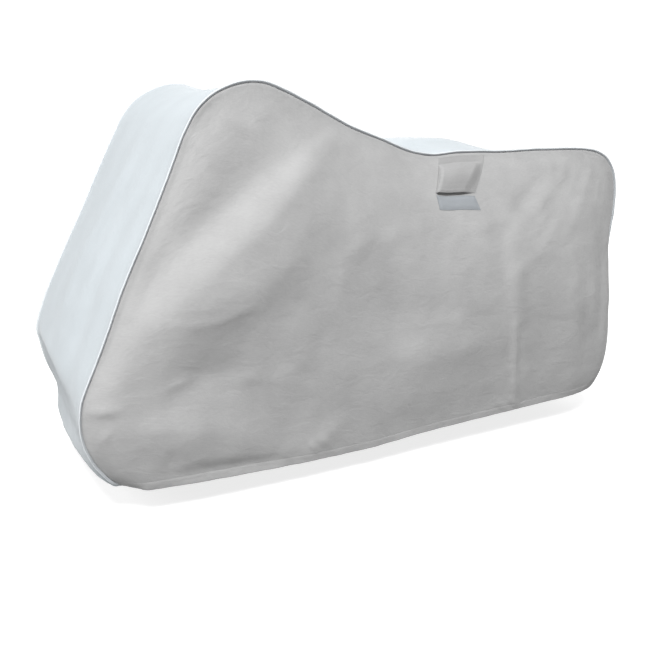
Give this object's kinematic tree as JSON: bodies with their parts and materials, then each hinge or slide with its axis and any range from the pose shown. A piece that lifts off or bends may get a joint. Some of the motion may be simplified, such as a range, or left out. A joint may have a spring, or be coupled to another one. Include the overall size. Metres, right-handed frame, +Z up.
{
  "type": "all-terrain vehicle cover",
  "caption": "Fitted cover draped as over a vehicle: pale centre panel, grey side panels, taped standing seams, a vent hood and an open underside.",
  "frame": {"origin": "on the centre plane, just under the cloth of the front peak, where the cover is carried", "axes": "+X to the back of the cover, +Y to its right side, +Z up"},
  "size_m": [2.0256, 1.034, 1.1658],
  "materials": {
    "centre_cloth": "matt silver nonwoven membrane",
    "side_cloth": "matt grey nonwoven membrane",
    "binding_tape": "woven tape, grey",
    "label_cloth": "smooth woven label, blank"
  },
  "bodies": {
    "root": {"centre_panel": "centre_cloth", "side_panel_left": "side_cloth", "side_panel_right": "side_cloth", "seam_binding_left": "binding_tape", "seam_binding_right": "binding_tape", "vent_hood": "side_cloth", "blank_label": "label_cloth"}
  },
  "joints": []
}
